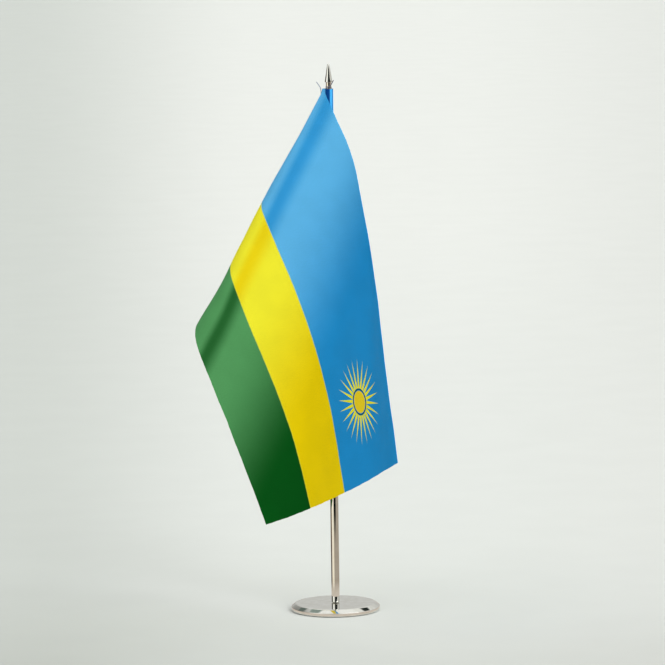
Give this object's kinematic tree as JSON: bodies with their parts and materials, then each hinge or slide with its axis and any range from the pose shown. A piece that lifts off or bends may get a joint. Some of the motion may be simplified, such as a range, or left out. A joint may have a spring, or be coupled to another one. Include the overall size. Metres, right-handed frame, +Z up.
{
  "type": "desk flag stand",
  "caption": "Desk flag stand: round chromed base, slim chromed pole with a pointed finial, and a folded satin table flag that swings round the pole.",
  "frame": {"origin": "centre of the base's underside, on the pole's axis", "axes": "+Z up along the pole; -Y towards the side from which the flag's front face is seen"},
  "size_m": [0.1239, 0.1602, 0.3404],
  "materials": {
    "chrome": "mirror polished, chrome plated",
    "plain_steel": "zinc plated",
    "brass": "turned, unplated",
    "pad_foam": "matte closed-cell foam",
    "satin": "printed polyester satin, soft sheen",
    "thread": "spun polyester thread"
  },
  "bodies": {
    "stand": {"base_plate": "chrome", "base_pad": "pad_foam", "base_screw": "plain_steel", "pole_foot_insert": "brass", "pole_tube": "chrome", "pole_top_insert": "brass"},
    "flag": {"flag_cloth": "satin", "sleeve_seam": "thread", "tie_thread": "thread"},
    "finial_rise": {"finial_stud": "plain_steel"},
    "finial_turn": {"finial": "chrome"}
  },
  "joints": [
    {"name": "flag_swivel", "type": "hinge", "parent": "stand", "child": "flag", "pos_m": [0, 0, 0.25], "axis": [0, 0, 1], "continuous": true},
    {"name": "finial_lift", "type": "slide", "parent": "stand", "child": "finial_rise", "axis": [0, 0, 1], "range_m": [0, 0.004]},
    {"name": "finial_screw", "type": "hinge", "parent": "finial_rise", "child": "finial_turn", "pos_m": [0, 0, 0.33], "axis": [0, 0, 1], "range_deg": [0, 3600]}
  ],
  "couplings": [
    {"joint": "finial_screw", "follows": "finial_lift", "rad_per_m": 15708}
  ]
}
